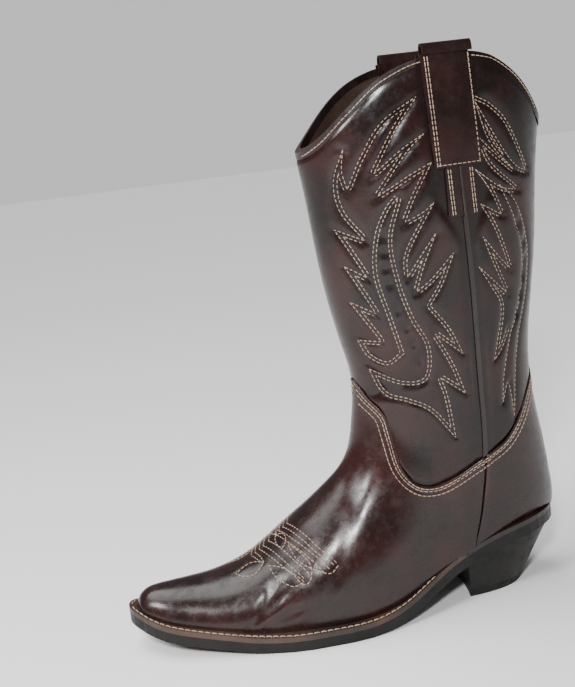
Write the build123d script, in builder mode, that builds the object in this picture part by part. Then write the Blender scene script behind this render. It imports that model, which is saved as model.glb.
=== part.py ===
"""A left cowboy boot, built as it comes apart on a shoemaker's bench.

The toe points to -X, the outer (lateral) side of the foot is -Y and up is +Z.
The origin is the middle of the heel's bottom face, on the floor.  Millimetres.
"""

import math
import os

from build123d import *

# ---------------------------------------------------------------- driving sizes
SOLE_LENGTH = 300.0  # heel's back to the tip of the outsole
BALL_WIDTH = 97.0  # outsole, across the ball of the foot
HEEL_RISE = 41.0  # how much higher the foot's heel sits than its ball
TOE_SPRING = 20.0  # how far the tip of the toe curls up off the floor
SHAFT_HEIGHT = 311.5  # heel seat to the peak of the top line, at the side
SHAFT_GIRTH = 96.5  # leg of the boot from side to side, at its widest

UPPER_LEATHER = 1.6  # vamp, counter cover, pull straps and side patches
SHAFT_LEATHER = 1.6  # shaft panels, and the stiffeners that lie in their layer
LINING = 1.0
BINDING_LEATHER = 0.8
BINDING_WIDTH = 4.5  # folded edge round the top line
PIPING_WIDTH = 3.2  # bead in each side seam
PIPING_PROUD = 0.8  # how far the bead stands out of the shaft
LAP = 10.0  # how far the shaft runs down inside the vamp and counter
LINING_LAP = 8.0  # how far above the vamp's edge the two linings meet

STRAP_WIDTH = 32.0
STRAP_LEG = 77.0  # outer leg of a pull strap, from the top of its loop
STRAP_INNER_LEG = 60.0
STRAP_LOOP = 7.0  # height of the loop over the top line
STRAP_SLACK = 3.0  # how far the inner leg stands off the lining
STRAP_HEM = 12.0  # end of the inner leg, sewn down through the lining
STRAP_ROOT = 0.5  # how far a leg runs up into its fold
PATCH_WIDTH = 19.0
PATCH_HEIGHT = 31.0
PATCH_CORNER = 2.0

WELT_THICKNESS = 3.2
WELT_WIDTH = 11.0
OUTSOLE_THICKNESS = 6.8
INSOLE_THICKNESS = 3.0
SOCK_THICKNESS = 1.2
SHANK_LENGTH = 96.0
SHANK_WIDTH = 15.0
SHANK_THICKNESS = 1.8

TOP_LIFT_THICKNESS = 5.5
LIFT_COUNT = 3
WEDGE_EDGE = 4.0  # thinnest edge of the wedge under the outsole, at the breast
HEEL_BOTTOM_LENGTH = 46.0
HEEL_BOTTOM_WIDTH = 53.0
BREAST_HOLLOW = 3.5  # how far the heel's front face curves in
HEEL_TUCK = 2.0  # how far the top of the heel's back lies inside the sole's outline
HEEL_SQUARENESS = 0.8  # below 1 makes the heel's D fuller than half an ellipse
HEEL_STEPS = 7

PEG_RADIUS = 0.9
PEG_COUNT = 7  # in each of the two rows beside the shank
PEG_BITE = 2.0  # how deep a peg goes into the insole
PEG_ASIDE = 5.0  # from the shank's edge to a row of pegs
PEG_RUN = 0.8  # a row's length, as a share of the shank's
PEG_LEAD = 0.55  # share of that row in front of the shank's middle
NAIL_RADIUS = 0.9
NAIL_HEAD_RADIUS = 2.0
NAIL_HEAD = 0.8
SEAT_NAIL_COUNT = 7
LIFT_NAIL_COUNT = 8
SEAT_NAIL_RING = (16.0, 14.0)  # half length and half width of the curve they follow
SEAT_NAIL_MIDDLE = 0.45  # where that curve is centred, as a share of the heel seat's length
SEAT_NAIL_SPAN = 220.0  # degrees of that curve, round the heel's back
SEAT_NAIL_SINK = 0.3  # heads below the insole's face
LIFT_NAIL_MARGIN = 7.0  # from the top lift's edge to its nails
SHANK_LAP = 14.0  # how far the shank runs back over the heel
NOSE_SLICES = 5  # slices over which the layers step back behind the tip of the toe

FIT_GAP = 0.15  # clearance round the insole, inside the lining
REACH = 90.0  # half the depth of every side-view cutter, wider than the boot
FAR = 3 * SOLE_LENGTH  # how far cutters run past the boot

# ---------------------------------------------------------------- the model last
# The last is drawn once, at its model size, and graded to the driving sizes.
MODEL_LENGTH = 300.0
MODEL_WIDTH = 97.0
MODEL_RISE = 41.0
MODEL_SPRING = 20.0
MODEL_SOLE = 10.0
MODEL_SHAFT = 311.5
MODEL_GIRTH = 96.5
FOOT_TOP = 90.0  # the foot's height follows the heel rise fully above this
MODEL_ANKLE = 150.0  # height where the leg begins
HEEL_BACK = 49.0
HEEL_BREAST = -24.0

# Each slice fans round from the toe, through the heel, to the top line: its front
# (x, z), its back or bottom (x, z), half width outside and inside, where along the
# slice it is widest, how square its back end is, and its sideways shift.
LAST = [
    ((-244.8, 28.0), (-244.8, 25.0), 3.0, 3.0, 0.50, 2.0, 4.0),
    ((-244.0, 31.0), (-244.0, 21.0), 7.0, 7.0, 0.50, 2.0, 4.0),
    ((-241.0, 34.5), (-241.0, 15.0), 12.0, 12.0, 0.50, 2.0, 4.0),
    ((-235.0, 37.2), (-235.0, 8.0), 17.0, 16.0, 0.50, 2.2, 4.0),
    ((-225.0, 38.4), (-225.0, 1.0), 22.0, 20.0, 0.50, 2.6, 3.0),
    ((-209.0, 39.0), (-208.0, -6.0), 27.5, 25.0, 0.50, 3.0, 2.0),
    ((-189.0, 40.5), (-186.0, -12.0), 33.5, 30.5, 0.50, 3.0, 1.0),
    ((-167.0, 47.0), (-160.0, -15.0), 39.0, 36.0, 0.52, 3.0, 0.0),
    ((-146.0, 60.0), (-132.0, -16.0), 44.0, 40.0, 0.55, 3.0, 0.0),
    ((-126.0, 74.0), (-104.0, -15.0), 46.5, 41.0, 0.58, 3.0, 0.0),
    ((-109.0, 87.0), (-76.0, -10.0), 45.0, 38.5, 0.60, 3.0, 0.0),
    ((-97.0, 99.0), (-43.0, -2.0), 41.0, 36.5, 0.58, 2.6, 0.0),
    ((-90.0, 112.0), (-8.0, 8.0), 38.0, 36.0, 0.54, 2.2, 0.0),
    ((-86.5, 126.0), (30.0, 22.0), 37.0, 36.5, 0.50, 2.0, 0.0),
    ((-84.5, 138.0), (50.0, 45.0), 37.0, 37.0, 0.50, 2.0, 0.0),
    ((-83.5, 148.0), (51.0, 70.0), 37.5, 37.5, 0.50, 2.0, 0.0),
    ((-83.5, 158.0), (47.5, 100.0), 38.0, 38.0, 0.50, 2.0, 0.0),
    ((-85.5, 170.0), (43.5, 128.0), 38.5, 38.5, 0.50, 2.0, 0.0),
    ((-89.5, 190.0), (43.0, 158.0), 40.5, 40.5, 0.50, 2.0, 0.0),
    ((-94.5, 220.0), (47.5, 195.0), 44.0, 44.0, 0.50, 2.0, 0.0),
    ((-99.0, 255.0), (53.0, 238.0), 47.0, 47.0, 0.50, 2.0, 0.0),
    ((-102.5, 290.0), (58.5, 282.0), 48.25, 48.25, 0.50, 2.0, 0.0),
    ((-106.0, 325.0), (64.5, 325.0), 47.5, 47.5, 0.50, 2.0, 0.0),
    ((-109.5, 374.0), (70.5, 379.0), 44.5, 44.5, 0.50, 2.0, 0.0),
]
FIRST_LEG_SLICE = 16

# Side-view lines of the pattern on the model last, from toe to heel (x, z).
TOP_LINE = [
    (-125, 314), (-107, 310), (-97, 316), (-79, 333), (-55, 352), (-31, 360.5), (-8, 362.5),
    (14, 359.5), (31, 350), (45, 336), (56, 320), (66, 311), (85, 316),
]  # fmt: skip
VAMP_LINE = [
    (-118, 200), (-84, 158), (-78, 146), (-69.5, 134), (-67, 120), (-64, 100), (-56, 89),
    (-46, 86), (-33, 88.5), (-8, 100), (8, 108), (21, 121), (32, 136), (43, 147), (68, 170),
]  # fmt: skip
SEAM = [(-21, 10), (-19, 38), (-13, 65), (-8, 100), (-7, 150), (-9, 220), (-12, 285), (-14, 400)]
TOE_BOX_EDGE = [(-184, -40), (-190, 20), (-204, 70)]
STIFFENER_EDGE = [(-48, -10), (-38, 40), (-14, 74), (16, 86), (40, 90), (80, 91)]
SOCK_EDGE = [(-66, -20), (-62, 40), (-70, 120)]

# Share of the heel rise, and of the toe spring, along the seat of the foot, which is
# level under the ball.
BALL_FRONT = -150
BALL_BACK = -120
SPRING_EASE = -168  # where the toe starts to curl
RISE = [
    (BALL_BACK, 0.0), (-100, 0.01), (-80, 0.085), (-60, 0.28), (-40, 0.51), (-20, 0.69), (0, 0.84),
    (25, 0.955), (49, 1.0), (75, 1.01),
]  # fmt: skip
SPRING = [
    (-270, 1.15), (-251, 0.9), (-235, 0.61), (-215, 0.38), (-190, 0.175), (SPRING_EASE, 0.05),
    (BALL_FRONT, 0.0),
]  # fmt: skip

# Outline of welt and outsole from above: x, half width outside and inside.
SOLE_OUTLINE = [
    (-248.0, 4.5, 13.5), (-240.0, 14.5, 19.0), (-227.0, 24.0, 25.0), (-210.0, 31.0, 31.0),
    (-190.0, 38.0, 37.0), (-165.0, 45.5, 43.0), (-140.0, 51.0, 46.0), (-115.0, 52.5, 44.0),
    (-92.0, 51.0, 39.5), (-70.0, 46.0, 34.5), (-48.0, 39.5, 31.5), (-24.0, 34.0, 32.0),
    (2.0, 33.0, 33.0), (22.0, 30.5, 30.5), (36.0, 24.0, 24.0), (45.5, 13.5, 13.5),
]  # fmt: skip
SOLE_TIP = (-251.0, 4.5)
OUTLINE_STEPS = 36

# ---------------------------------------------------------------- derived sizes
SOLE_THICKNESS = WELT_THICKNESS + OUTSOLE_THICKNESS
LENGTH_GRADE = SOLE_LENGTH / MODEL_LENGTH
WIDTH_GRADE = BALL_WIDTH / MODEL_WIDTH
GIRTH_GRADE = SHAFT_GIRTH / MODEL_GIRTH
MODEL_LEG = MODEL_SHAFT - (MODEL_ANKLE - MODEL_RISE - MODEL_SOLE)
LEG_GRADE = 1 + (SHAFT_HEIGHT - MODEL_SHAFT) / MODEL_LEG
SHAFT_INSIDE = UPPER_LEATHER + SHAFT_LEATHER
LINED = SHAFT_INSIDE + LINING
FLOOR_INSET = LINED + FIT_GAP
STRAP_INSIDE = LINED + STRAP_SLACK + UPPER_LEATHER


# ---------------------------------------------------------------- shaping helpers
def between(table, x):
    """Smooth, never overshooting value of a table of (x, value) at x."""
    if x <= table[0][0]:
        return table[0][1]
    if x >= table[-1][0]:
        return table[-1][1]
    slopes = [(b[1] - a[1]) / (b[0] - a[0]) for a, b in zip(table, table[1:])]
    inner = [0.0 if s * t <= 0 else 2 * s * t / (s + t) for s, t in zip(slopes, slopes[1:])]
    ends = [slopes[0], *inner, slopes[-1]]
    i = max(k for k in range(len(table) - 1) if table[k][0] <= x)
    (x0, y0), (x1, y1) = table[i], table[i + 1]
    h = x1 - x0
    t = (x - x0) / h
    rising = ends[i] * h * t * (1 - t) ** 2
    falling = ends[i + 1] * h * t * t * (t - 1)
    return y0 * (1 + 2 * t) * (1 - t) ** 2 + y1 * t * t * (3 - 2 * t) + rising + falling


def graded(x, z):
    """A side-view point of the model last, at the driving sizes."""
    climb = min(1.0, max(0.0, (z - FOOT_TOP) / (MODEL_ANKLE - FOOT_TOP)))
    lift = (HEEL_RISE - MODEL_RISE) * max(between(RISE, x), climb)
    spring = (TOE_SPRING - MODEL_SPRING) * between(SPRING, x) * (1 - climb)
    leg = max(0.0, z - MODEL_ANKLE) * (LEG_GRADE - 1)
    return x * LENGTH_GRADE, z + lift + spring + leg + SOLE_THICKNESS - MODEL_SOLE


def seat(x):
    """Height of the top of the welt, where the upper meets the sole."""
    model_x = x / LENGTH_GRADE
    return SOLE_THICKNESS + HEEL_RISE * between(RISE, model_x) + TOE_SPRING * between(SPRING, model_x)


def moved_aside(points, distance):
    """A side-view line moved by a distance to its right, seen from its start."""
    moved = []
    for i, (x, z) in enumerate(points):
        x0, z0 = points[max(i - 1, 0)]
        x1, z1 = points[min(i + 1, len(points) - 1)]
        size = math.hypot(x1 - x0, z1 - z0)
        moved.append((x + distance * (z1 - z0) / size, z - distance * (x1 - x0) / size))
    return moved


def shrunk(half, inset):
    """A half size less an inset, easing off so that it never closes up."""
    return max(0.6, half * math.exp(-inset / half))


def slice_plane(front, back):
    """Plane of one slice, with its local x axis running from front to back."""
    along = Vector(back[0] - front[0], 0, back[1] - front[1])
    return Plane(origin=(front[0], 0, front[1]), x_dir=along, z_dir=along.cross(Vector(0, 1, 0)))


def last_slice(number, inset):
    """One closed section of the last, inset by what covers the foot."""
    front, back, outside, inside, widest, square, shift = LAST[number]
    front = graded(*front)
    back = graded(*back)
    middle = math.dist(front, back) / 2
    reach = shrunk(middle, inset)
    crest = middle + reach * (2 * widest - 1)
    grade = GIRTH_GRADE if number >= FIRST_LEG_SLICE else WIDTH_GRADE
    plane = slice_plane(front, back)
    plane.origin = plane.origin + Vector(inset * max(0.0, 1 - number / NOSE_SLICES), shift, 0)
    with BuildLine(plane) as outline:
        for half in (-shrunk(outside * grade, inset), shrunk(inside * grade, inset)):
            Bezier(*quarter(middle - reach, crest, half, 2.0))
            Bezier(*quarter(middle + reach, crest, half, square))
    return Face(outline.wire())


def last(inset):
    """The solid inside the boot's outer surface, inset by what covers it."""
    with BuildPart() as body:
        loft([last_slice(number, inset) for number in range(len(LAST))], clean=False)
    return body.part


def quarter(tip, crest, half, square):
    """Four control points of a rounded quarter, from a tip to the widest place."""
    pull = (8 * 2 ** (-1 / square) - 4) / 3
    return (tip, 0), (tip, half * pull), (crest + (tip - crest) * pull, half), (crest, half)


def side_region(line, corners):
    """A prism across the boot, bounded by a smooth side-view line and straight corners."""
    with BuildPart() as region:
        with BuildSketch(Plane.XZ):
            with BuildLine():
                edge = Spline(*line)
                Polyline(edge @ 1, *corners, edge @ 0)
            make_face()
        extrude(amount=REACH, both=True)
    return region.part


def below(line, drop=0.0):
    """Everything under a side-view line that runs from toe to heel, right out to the toe."""
    edge = moved_aside([graded(*point) for point in line], drop)
    return side_region(edge, [(edge[-1][0], -FAR), (-FAR, -FAR), (-FAR, edge[0][1])])


def in_front_of(line, distance=0.0):
    """Everything on the toe's side of a side-view line that climbs."""
    edge = moved_aside([graded(*point) for point in line], distance)
    return side_region(edge, [(edge[-1][0], FAR), (-FAR, FAR), (-FAR, -FAR), (edge[0][0], -FAR)])


def behind_and_below(line):
    """Everything at the heel under a line that climbs from the sole."""
    edge = [graded(*point) for point in line]
    return side_region(edge, [(edge[-1][0], -FAR), (edge[0][0], -FAR)])


def below_seat(drop):
    """Everything under the seat of the foot, moved down by the thickness above it."""
    toe = [(x * LENGTH_GRADE, seat(x * LENGTH_GRADE)) for x, share in SPRING if x != SPRING_EASE]
    arch = [(x * LENGTH_GRADE, seat(x * LENGTH_GRADE)) for x, share in RISE if x != HEEL_BACK]
    toe = moved_aside([*toe, (arch[0][0], toe[-1][1])], drop)[:-1]
    arch = moved_aside([toe[-1], *arch], drop)[1:]
    toe[-1] = (BALL_FRONT * LENGTH_GRADE, SOLE_THICKNESS - drop)
    arch[0] = (BALL_BACK * LENGTH_GRADE, SOLE_THICKNESS - drop)
    bottom = -SOLE_LENGTH
    with BuildPart() as under:
        with BuildSketch(Plane.XZ):
            with BuildLine():
                Spline(*toe, tangents=[direction(toe[0], toe[1]), (1, 0)])
                Line(toe[-1], arch[0])
                Spline(*arch, tangents=[(1, 0), direction(arch[-2], arch[-1])])
                Polyline(arch[-1], (arch[-1][0], bottom), (toe[0][0], bottom), toe[0])
            make_face()
        extrude(amount=REACH, both=True)
    return under.part


def direction(start, end):
    """Which way a straight run points, as a pair."""
    return (end[0] - start[0], end[1] - start[1])


def column(centre, width):
    """A side-view cutter that follows the side seam, of one width."""
    with BuildPart() as strip:
        add(in_front_of(SEAM, width / 2 + centre))
        add(in_front_of(SEAM, centre - width / 2), mode=Mode.SUBTRACT, clean=False)
    return strip.part


def sole_side(side):
    """Points of one side of the sole's outline, from the tip of the toe to the heel's back."""
    ends = [(SOLE_TIP[0], -SOLE_TIP[1], SOLE_TIP[1])], [(HEEL_BACK, 0.0, 0.0)]
    rows = [*ends[0], *SOLE_OUTLINE, *ends[1]]
    roundness = [(x, ((outside + inside) / 2) ** 2) for x, outside, inside in rows]
    middle = [(x, (inside - outside) / 2) for x, outside, inside in rows]
    points = []
    for step in range(OUTLINE_STEPS + 1):
        share = (1 - math.cos(math.pi * step / OUTLINE_STEPS)) / 2
        x = SOLE_TIP[0] + (HEEL_BACK - SOLE_TIP[0]) * share
        y = between(middle, x) + side * math.sqrt(max(0.0, between(roundness, x)))
        points.append((x * LENGTH_GRADE, y * WIDTH_GRADE))
    return points


def sole_plan(inset=0.0):
    """Outline of welt and outsole from above, as a tall block."""
    with BuildPart() as block:
        with BuildSketch(Plane.XY.offset(-SOLE_LENGTH / 2)):
            with BuildLine():
                Polyline(*sole_side(-1))
                Polyline(*sole_side(1))
            make_face()
            if inset > 0:
                offset(amount=-inset, kind=Kind.INTERSECTION, mode=Mode.REPLACE)
        extrude(amount=SOLE_LENGTH, clean=False)
    return block.part


def heel_plan(length, width):
    """Half points of the heel's D-shaped slice, from the breast to its back."""
    points = []
    for step in range(HEEL_STEPS):
        angle = math.pi / 2 * step / (HEEL_STEPS - 1)
        back = math.sin(angle) ** HEEL_SQUARENESS
        aside = max(0.0, math.cos(angle)) ** HEEL_SQUARENESS
        points.append((BREAST_X + length * back, width / 2 * aside))
    return points


def between_lasts(outside, inside):
    """The hollow shell that one layer of the boot is cut from."""
    with BuildPart() as skin:
        add(outside, clean=False)
        add(inside, mode=Mode.SUBTRACT, clean=False)
    return skin.part


def zone(*keep, without=()):
    """What several cutters have in common, less some others."""
    with BuildPart() as region:
        add(keep[0])
        for other in keep[1:]:
            add(other, mode=Mode.INTERSECT, clean=False)
        for other in without:
            add(other, mode=Mode.SUBTRACT, clean=False)
    return region.part


def half_zone(half, keep, without):
    """A zone's front half (INTERSECT) or back half (SUBTRACT), split at the side seam."""
    with BuildPart() as region:
        add(zone(keep, without=without))
        add(seam_front, mode=half, clean=False)
    return region.part


def write(piece, name):
    """Label a finished piece and write it out."""
    piece.part.label = name
    export_step(piece.part, f"parts/{name}.step")


# ---------------------------------------------------------------- shared solids
BREAST_X = HEEL_BREAST * LENGTH_GRADE
BREAST_HEIGHT = seat(BREAST_X) - SOLE_THICKNESS
LIFT_THICKNESS = (BREAST_HEIGHT - TOP_LIFT_THICKNESS - WEDGE_EDGE) / LIFT_COUNT
TOP_Z = graded(0, max(z for x, z in TOP_LINE))[1]
SEAM_X = between([(z, x) for x, z in SEAM], MODEL_SHAFT) * LENGTH_GRADE

outer_last = last(0)
vamp_last = last(UPPER_LEATHER)
shaft_last = last(SHAFT_INSIDE)
foot_last = last(LINED)
floor_last = last(FLOOR_INSET)
upper_skin = between_lasts(outer_last, vamp_last)
shaft_skin = between_lasts(vamp_last, shaft_last)
lining_skin = between_lasts(shaft_last, foot_last)
slack_last = last(LINED + STRAP_SLACK)
strap_skin = between_lasts(slack_last, last(STRAP_INSIDE))
hem_skin = between_lasts(foot_last, slack_last)

ground = below_seat(0)
shaft_top = below(TOP_LINE, BINDING_LEATHER)
foot_zone = below(VAMP_LINE)
lap_zone = below(VAMP_LINE, LAP)
lining_zone = below(VAMP_LINE, -LINING_LAP)
seam_front = in_front_of(SEAM)
toe_zone = in_front_of(TOE_BOX_EDGE)
stiff_zone = behind_and_below(STIFFENER_EDGE)
bead_zone = column(0, PIPING_WIDTH)


# ---------------------------------------------------------------- foot of the upper
def make_vamp():
    with BuildPart() as vamp:
        add(upper_skin, clean=False)
        add(zone(foot_zone, seam_front, without=[ground]), mode=Mode.INTERSECT, clean=False)
    write(vamp, "vamp")
    return vamp.part


def make_counter_cover():
    with BuildPart() as counter_cover:
        add(upper_skin, clean=False)
        add(zone(foot_zone, without=[seam_front, ground]), mode=Mode.INTERSECT, clean=False)
    write(counter_cover, "counter_cover")
    return counter_cover.part


def make_toe_box():
    with BuildPart() as toe_box:
        add(shaft_skin, clean=False)
        add(zone(toe_zone, without=[ground]), mode=Mode.INTERSECT, clean=False)
    write(toe_box, "toe_box")


def make_heel_stiffener():
    with BuildPart() as heel_stiffener:
        add(shaft_skin, clean=False)
        add(zone(stiff_zone, without=[ground]), mode=Mode.INTERSECT, clean=False)
    write(heel_stiffener, "heel_stiffener")


def make_vamp_interlining():
    with BuildPart() as vamp_interlining:
        add(shaft_skin, clean=False)
        add(zone(lap_zone, without=[toe_zone, stiff_zone, ground]), mode=Mode.INTERSECT, clean=False)
    write(vamp_interlining, "vamp_interlining")


# ---------------------------------------------------------------- shaft
def make_shaft_panel(name, half):
    with BuildPart() as shaft_panel:
        add(shaft_skin, clean=False)
        add(half_zone(half, shaft_top, without=[lap_zone, bead_zone]), mode=Mode.INTERSECT, clean=False)
    write(shaft_panel, name)


def make_shaft_lining(name, half):
    with BuildPart() as shaft_lining:
        add(lining_skin, clean=False)
        add(half_zone(half, shaft_top, without=[lining_zone]), mode=Mode.INTERSECT, clean=False)
    write(shaft_lining, name)


def make_foot_lining(name, half):
    with BuildPart() as foot_lining:
        add(lining_skin, clean=False)
        add(half_zone(half, lining_zone, without=[ground]), mode=Mode.INTERSECT, clean=False)
    write(foot_lining, name)


def make_binding():
    """The folded strip that wraps both raw edges all round the top."""
    outside = last(UPPER_LEATHER - BINDING_LEATHER)
    inside = last(LINED + BINDING_LEATHER)
    with BuildPart() as ring:
        add(between_lasts(outside, inside), clean=False)
        add(zone(below(TOP_LINE), without=[below(TOP_LINE, BINDING_WIDTH)]), mode=Mode.INTERSECT, clean=False)
        add(zone(between_lasts(vamp_last, foot_last), shaft_top), mode=Mode.SUBTRACT, clean=False)
    return ring.part


def make_topline_binding(name, half):
    with BuildPart() as topline_binding:
        add(top_ring, clean=False)
        add(seam_front, mode=half, clean=False)
    write(topline_binding, name)


def one_side(side):
    """Everything on one side of the boot's middle: -1 is the outer side."""
    with BuildPart() as half_space:
        with BuildSketch(Plane.XZ):
            Rectangle(2 * FAR, 2 * FAR)
        extrude(amount=-side * REACH)
    return half_space.part


def make_pull_strap(name, side):
    """A strap sewn down outside and inside, with its fold standing over the top line."""
    loop_top = TOP_Z + STRAP_LOOP
    inner_end = loop_top - STRAP_INNER_LEG
    outer_face = abs(side_at(side, TOP_Z, 0))
    inner_face = abs(side_at(side, TOP_Z, STRAP_INSIDE))
    fold = (outer_face - inner_face) / 2
    width = column(0, STRAP_WIDTH)
    half = one_side(side)
    with BuildPart() as outer_leg:
        add(upper_skin, clean=False)
        outer_band = level_band(loop_top - STRAP_LEG, TOP_Z + STRAP_ROOT)
        add(zone(outer_band, width, half), mode=Mode.INTERSECT, clean=False)
    with BuildPart() as inner_leg:
        add(strap_skin, clean=False)
        inner_band = level_band(inner_end, TOP_Z + STRAP_ROOT)
        add(zone(inner_band, width, half), mode=Mode.INTERSECT, clean=False)
    with BuildPart() as hem:
        add(hem_skin, clean=False)
        add(zone(level_band(inner_end, inner_end + STRAP_HEM), width, half), mode=Mode.INTERSECT, clean=False)
    with BuildPart() as pull_strap:
        add(outer_leg.part, clean=False)
        add(inner_leg.part, clean=False)
        add(hem.part, clean=False)
        add(top_ring, mode=Mode.SUBTRACT, clean=False)
        with BuildSketch(Plane.YZ.offset(SEAM_X)):
            with BuildLine():
                for radius in (fold, fold - UPPER_LEATHER):
                    rise = loop_top - TOP_Z - (fold - radius)
                    Spline(
                        (side * (inner_face + fold - radius), TOP_Z),
                        (side * (inner_face + fold), TOP_Z + rise),
                        (side * (inner_face + fold + radius), TOP_Z),
                        tangents=[(0, 1), (0, -1)],
                    )
                Line((side * inner_face, TOP_Z), (side * (inner_face + UPPER_LEATHER), TOP_Z))
                Line((side * outer_face, TOP_Z), (side * (outer_face - UPPER_LEATHER), TOP_Z))
            make_face()
        extrude(amount=STRAP_WIDTH / 2, both=True)
    write(pull_strap, name)
    return pull_strap.part


def side_at(side, height, inset):
    """How far out one side of the leg is at a height, under an inset."""
    rows = [(max(graded(*row[0])[1], graded(*row[1])[1]), row[2 if side < 0 else 3]) for row in LAST[-4:]]
    return shrunk(between(rows, height) * GIRTH_GRADE, inset)


def level_band(low, high):
    """Everything between two heights."""
    with BuildPart() as band:
        with BuildSketch(Plane.XY.offset(low)):
            Rectangle(2 * FAR, 2 * REACH)
        extrude(amount=high - low)
    return band.part


def make_side_patch(name, side):
    """A tab over the seam, just under the strap."""
    top = TOP_Z + STRAP_LOOP - STRAP_LEG
    with BuildPart() as outline:
        with BuildSketch(Plane.XZ):
            with Locations((SEAM_X, top - PATCH_HEIGHT / 2)):
                RectangleRounded(PATCH_WIDTH, PATCH_HEIGHT, PATCH_CORNER)
        extrude(amount=REACH, both=True)
    with BuildPart() as side_patch:
        add(upper_skin, clean=False)
        add(zone(outline.part, one_side(side)), mode=Mode.INTERSECT, clean=False)
    write(side_patch, name)
    return side_patch.part


def make_side_piping(name, side, strap, patch):
    with BuildPart() as side_piping:
        add(bead_skin, clean=False)
        add(zone(bead_zone, shaft_top, one_side(side), without=[lap_zone]), mode=Mode.INTERSECT, clean=False)
        for cover in (strap, patch, vamp_part, counter_part, top_ring):
            add(cover, mode=Mode.SUBTRACT, clean=False)
    write(side_piping, name)


# ---------------------------------------------------------------- sole
def make_welt_ring(name, half):
    """The sewn strip that stands out round the foot, or the rand round the heel."""
    with BuildPart() as ring:
        add(outline_block, clean=False)
        add(inner_block, mode=Mode.SUBTRACT, clean=False)
        add(ground, mode=Mode.INTERSECT, clean=False)
        add(below_seat(WELT_THICKNESS), mode=Mode.SUBTRACT, clean=False)
        add(breast_front, mode=half, clean=False)
    write(ring, name)


def breast_cutter():
    """Everything in front of the heel's front face."""
    with BuildPart() as front:
        with BuildSketch(Plane.XZ):
            with Locations((BREAST_X - FAR, 0)):
                Rectangle(2 * FAR, 2 * FAR)
        extrude(amount=REACH, both=True)
    return front.part


def shank_block():
    """Side-view curve of the shank, tight under the insole, through the arch."""
    with BuildPart() as block:
        add(ground, clean=False)
        add(below_seat(SHANK_THICKNESS), mode=Mode.SUBTRACT, clean=False)
        with BuildSketch(Plane.XY.offset(-SOLE_LENGTH / 2), mode=Mode.PRIVATE) as plan:
            with Locations((SHANK_MIDDLE, 0)):
                SlotOverall(SHANK_LENGTH, SHANK_WIDTH)
        extrude(plan.sketch, amount=SOLE_LENGTH, mode=Mode.INTERSECT)
    return block.part


def make_steel_shank():
    with BuildPart() as steel_shank:
        add(shank_solid, clean=False)
    write(steel_shank, "steel_shank")


def make_cork_filler():
    with BuildPart() as cork_filler:
        add(inner_block, clean=False)
        add(ground, mode=Mode.INTERSECT, clean=False)
        add(below_seat(WELT_THICKNESS), mode=Mode.SUBTRACT, clean=False)
        add(shank_solid, mode=Mode.SUBTRACT, clean=False)
        add(pegs, mode=Mode.SUBTRACT, clean=False)
        add(seat_nails, mode=Mode.SUBTRACT, clean=False)
    write(cork_filler, "cork_filler")


def make_insole():
    with BuildPart() as insole:
        add(floor_last, clean=False)
        add(below_seat(-INSOLE_THICKNESS), mode=Mode.INTERSECT, clean=False)
        add(ground, mode=Mode.SUBTRACT, clean=False)
        add(pegs, mode=Mode.SUBTRACT, clean=False)
        add(seat_nails, mode=Mode.SUBTRACT, clean=False)
    write(insole, "insole")


def make_heel_sock():
    with BuildPart() as heel_sock:
        add(floor_last, clean=False)
        add(below_seat(-INSOLE_THICKNESS - SOCK_THICKNESS), mode=Mode.INTERSECT, clean=False)
        add(below_seat(-INSOLE_THICKNESS), mode=Mode.SUBTRACT, clean=False)
        add(in_front_of(SOCK_EDGE), mode=Mode.SUBTRACT, clean=False)
    write(heel_sock, "heel_sock")


def make_outsole():
    with BuildPart() as outsole:
        add(outline_block, clean=False)
        add(below_seat(WELT_THICKNESS), mode=Mode.INTERSECT, clean=False)
        add(below_seat(SOLE_THICKNESS), mode=Mode.SUBTRACT, clean=False)
        add(pegs, mode=Mode.SUBTRACT, clean=False)
        add(seat_nails, mode=Mode.SUBTRACT, clean=False)
    write(outsole, "outsole")


def make_pegs():
    """Two rows of wooden pegs, square to the sole, beside the shank."""
    aside = SHANK_WIDTH / 2 + PEG_ASIDE
    length = SOLE_THICKNESS + PEG_BITE
    with BuildPart() as arch_pegs:
        for row in (-1, 1):
            for place in range(PEG_COUNT):
                x = SHANK_MIDDLE + SHANK_LENGTH * PEG_RUN * (place / (PEG_COUNT - 1) - PEG_LEAD)
                slope = (seat(x + 1) - seat(x - 1)) / 2
                axis = Vector(-slope, 0, 1).normalized()
                foot = Vector(x, row * aside, seat(x)) - axis * SOLE_THICKNESS
                with BuildSketch(Plane(origin=foot, x_dir=(0, 1, 0), z_dir=axis)):
                    Circle(PEG_RADIUS)
                extrude(amount=length)
    write(arch_pegs, "arch_pegs")
    return arch_pegs.part


# ---------------------------------------------------------------- heel
def heel_block():
    """The whole stack, from the floor to the underside of the outsole."""
    top_length = (HEEL_BACK - HEEL_TUCK - HEEL_BREAST) * LENGTH_GRADE
    breast_widths = next(row[1:] for row in SOLE_OUTLINE if row[0] == HEEL_BREAST)
    top_width = sum(breast_widths) * WIDTH_GRADE
    with BuildPart() as block:
        for height, length, width in (
            (0, HEEL_BOTTOM_LENGTH, HEEL_BOTTOM_WIDTH),
            (HEEL_RISE, top_length, top_width),
        ):
            half = heel_plan(length, width)
            with BuildSketch(Plane.XY.offset(height)):
                with BuildLine():
                    start = (half[0][0], -half[0][1])
                    ThreePointArc(start, (BREAST_X + BREAST_HOLLOW, 0), half[0])
                    Spline(*half, tangents=[(1, 0), (0, -1)])
                    Spline(*[(x, -y) for x, y in half], tangents=[(1, 0), (0, 1)])
                make_face()
        loft(ruled=True)
        add(below_seat(SOLE_THICKNESS), mode=Mode.INTERSECT, clean=False)
    return block.part


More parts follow.
